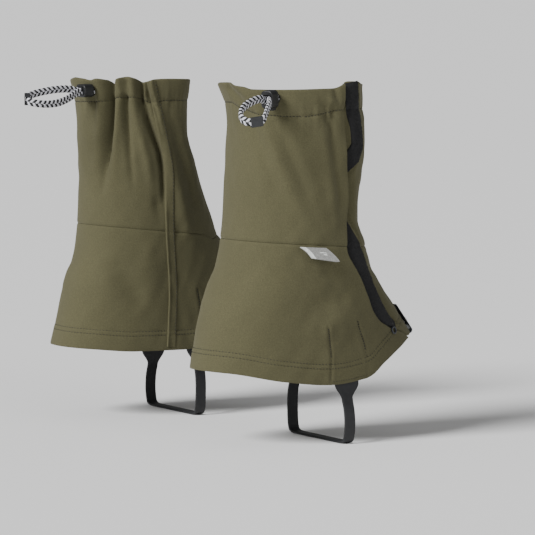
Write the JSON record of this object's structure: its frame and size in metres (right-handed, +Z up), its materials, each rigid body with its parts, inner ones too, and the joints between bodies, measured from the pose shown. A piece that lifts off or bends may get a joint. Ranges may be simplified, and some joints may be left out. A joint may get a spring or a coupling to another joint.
{
  "type": "gaiters",
  "caption": "Pair of low stretch-cloth hiking gaiters: drawcord tops with cord locks, front hook-and-loop flaps, instep stirrup straps and lace hooks.",
  "frame": {"origin": "midway between the two feet, on the plane of the undersides of the two stirrup straps", "axes": "+X towards the toes, +Y towards the wearer's left, +Z up"},
  "size_m": [0.2532, 0.3767, 0.2845],
  "materials": {
    "cloth": "matt olive stretch-woven nylon",
    "cloth_inner": "matt olive stretch-woven nylon, inner side",
    "black_webbing": "black woven hook-and-loop tape",
    "seam_binding": "olive folded cloth seam",
    "cord": "braided black and white polyester cord",
    "black_plastic": "matt black acetal",
    "strap_rubber": "matt black polyurethane strap",
    "hook_metal": "dark grey coated steel",
    "bright_metal": "plain nickel-plated steel",
    "spring_steel": "drawn spring wire",
    "label_cloth": "grey woven label tape",
    "thread": "olive sewing thread"
  },
  "bodies": {
    "right_gaiter": {"right_upper_rear_panel": "cloth", "right_lower_rear_panel": "cloth", "right_upper_front_panel": "cloth", "right_lower_front_panel": "cloth", "right_top_band_rear": "cloth", "right_top_band_front": "cloth", "right_medial_seam_strip": "seam_binding", "right_loop_strip": "black_webbing", "right_hem_facing": "cloth_inner", "right_strap_anchors": "black_webbing", "right_drawcord_short_run": "cord", "right_drawcord_long_run": "cord", "right_drawcord_loop": "cord", "right_cord_end_clip": "black_plastic", "right_cord_buttonhole": "thread"},
    "right_front_flap": {"right_upper_flap": "cloth", "right_lower_flap": "cloth", "right_top_band_flap": "cloth", "right_hook_strip": "black_webbing", "right_flap_hem_facing": "cloth_inner", "right_drawcord_flap_run": "cord", "right_flap_eyelet": "bright_metal"},
    "right_cord_lock": {"right_cord_lock_body": "black_plastic", "right_cord_lock_spring": "spring_steel"},
    "right_cord_lock_button": {"right_cord_lock_plunger": "black_plastic"},
    "right_stirrup": {"right_stirrup_strap": "strap_rubber"},
    "right_lace_hook_tab": {"right_lace_hook": "hook_metal", "right_hook_tab": "black_webbing", "right_hook_rivet": "bright_metal"},
    "right_label_tab": {"right_label": "label_cloth"},
    "left_gaiter": {"left_upper_rear_panel": "cloth", "left_lower_rear_panel": "cloth", "left_upper_front_panel": "cloth", "left_lower_front_panel": "cloth", "left_top_band_rear": "cloth", "left_top_band_front": "cloth", "left_medial_seam_strip": "seam_binding", "left_loop_strip": "black_webbing", "left_hem_facing": "cloth_inner", "left_strap_anchors": "black_webbing", "left_drawcord_short_run": "cord", "left_drawcord_long_run": "cord", "left_drawcord_loop": "cord", "left_cord_end_clip": "black_plastic", "left_cord_buttonhole": "thread"},
    "left_front_flap": {"left_upper_flap": "cloth", "left_lower_flap": "cloth", "left_top_band_flap": "cloth", "left_hook_strip": "black_webbing", "left_flap_hem_facing": "cloth_inner", "left_drawcord_flap_run": "cord", "left_flap_eyelet": "bright_metal"},
    "left_cord_lock": {"left_cord_lock_body": "black_plastic", "left_cord_lock_spring": "spring_steel"},
    "left_cord_lock_button": {"left_cord_lock_plunger": "black_plastic"},
    "left_stirrup": {"left_stirrup_strap": "strap_rubber"},
    "left_lace_hook_tab": {"left_lace_hook": "hook_metal", "left_hook_tab": "black_webbing", "left_hook_rivet": "bright_metal"},
    "left_label_tab": {"left_label": "label_cloth"}
  },
  "joints": [
    {"name": "stride", "type": "slide", "parent": "right_gaiter", "child": "left_gaiter", "axis": [1, 0, 0], "range_m": [-0.15, 0.15]},
    {"name": "right_flap_fold", "type": "hinge", "parent": "right_gaiter", "child": "right_front_flap", "pos_m": [0.0485, -0.1684, 0.052], "axis": [0.2571, 0.0174, -0.9662], "range_deg": [0, 75]},
    {"name": "right_cord_lock_slide", "type": "slide", "parent": "right_gaiter", "child": "right_cord_lock", "axis": [-0.8617, -0.501, -0.0802], "range_m": [0, 0.018], "deforming": ["right_drawcord_loop"]},
    {"name": "right_cord_lock_press", "type": "slide", "parent": "right_cord_lock", "child": "right_cord_lock_button", "axis": [-0.0693, -0.0403, 0.9968], "range_m": [0, 0.0012], "stiffness_N_per_m": 400, "springref_m": -0.0005, "deforming": ["right_cord_lock_spring"]},
    {"name": "right_stirrup_swing", "type": "hinge", "parent": "right_gaiter", "child": "right_stirrup", "pos_m": [0.034, -0.118, 0.058], "axis": [0, 1, 0], "range_deg": [-25, 25]},
    {"name": "right_lace_hook_tilt", "type": "hinge", "parent": "right_gaiter", "child": "right_lace_hook_tab", "pos_m": [0.10034, -0.118, 0.10604], "axis": [0, 1, 0], "range_deg": [-45, 0]},
    {"name": "right_label_fold", "type": "hinge", "parent": "right_gaiter", "child": "right_label_tab", "pos_m": [-0.001, -0.1706, 0.1576], "axis": [0.9979, 0, -0.0649], "range_deg": [-50, 30]},
    {"name": "left_flap_fold", "type": "hinge", "parent": "left_gaiter", "child": "left_front_flap", "pos_m": [0.0355, 0.1665, 0.052], "axis": [-0.2571, -0.0025, 0.9664], "range_deg": [0, 75]},
    {"name": "left_cord_lock_slide", "type": "slide", "parent": "left_gaiter", "child": "left_cord_lock", "axis": [-0.9923, -0.1203, -0.0301], "range_m": [0, 0.018], "deforming": ["left_drawcord_loop"]},
    {"name": "left_cord_lock_press", "type": "slide", "parent": "left_cord_lock", "child": "left_cord_lock_button", "axis": [0.1203, -0.9927, 0], "range_m": [0, 0.0012], "stiffness_N_per_m": 400, "springref_m": -0.0005, "deforming": ["left_cord_lock_spring"]},
    {"name": "left_stirrup_swing", "type": "hinge", "parent": "left_gaiter", "child": "left_stirrup", "pos_m": [0.021, 0.118, 0.058], "axis": [0, 1, 0], "range_deg": [-25, 25]},
    {"name": "left_lace_hook_tilt", "type": "hinge", "parent": "left_gaiter", "child": "left_lace_hook_tab", "pos_m": [0.08621, 0.118, 0.10601], "axis": [0, 1, 0], "range_deg": [-45, 0]},
    {"name": "left_label_fold", "type": "hinge", "parent": "left_gaiter", "child": "left_label_tab", "pos_m": [-0.014, 0.16588, 0.1576], "axis": [0.9979, 0, -0.0649], "range_deg": [-30, 50]}
  ]
}
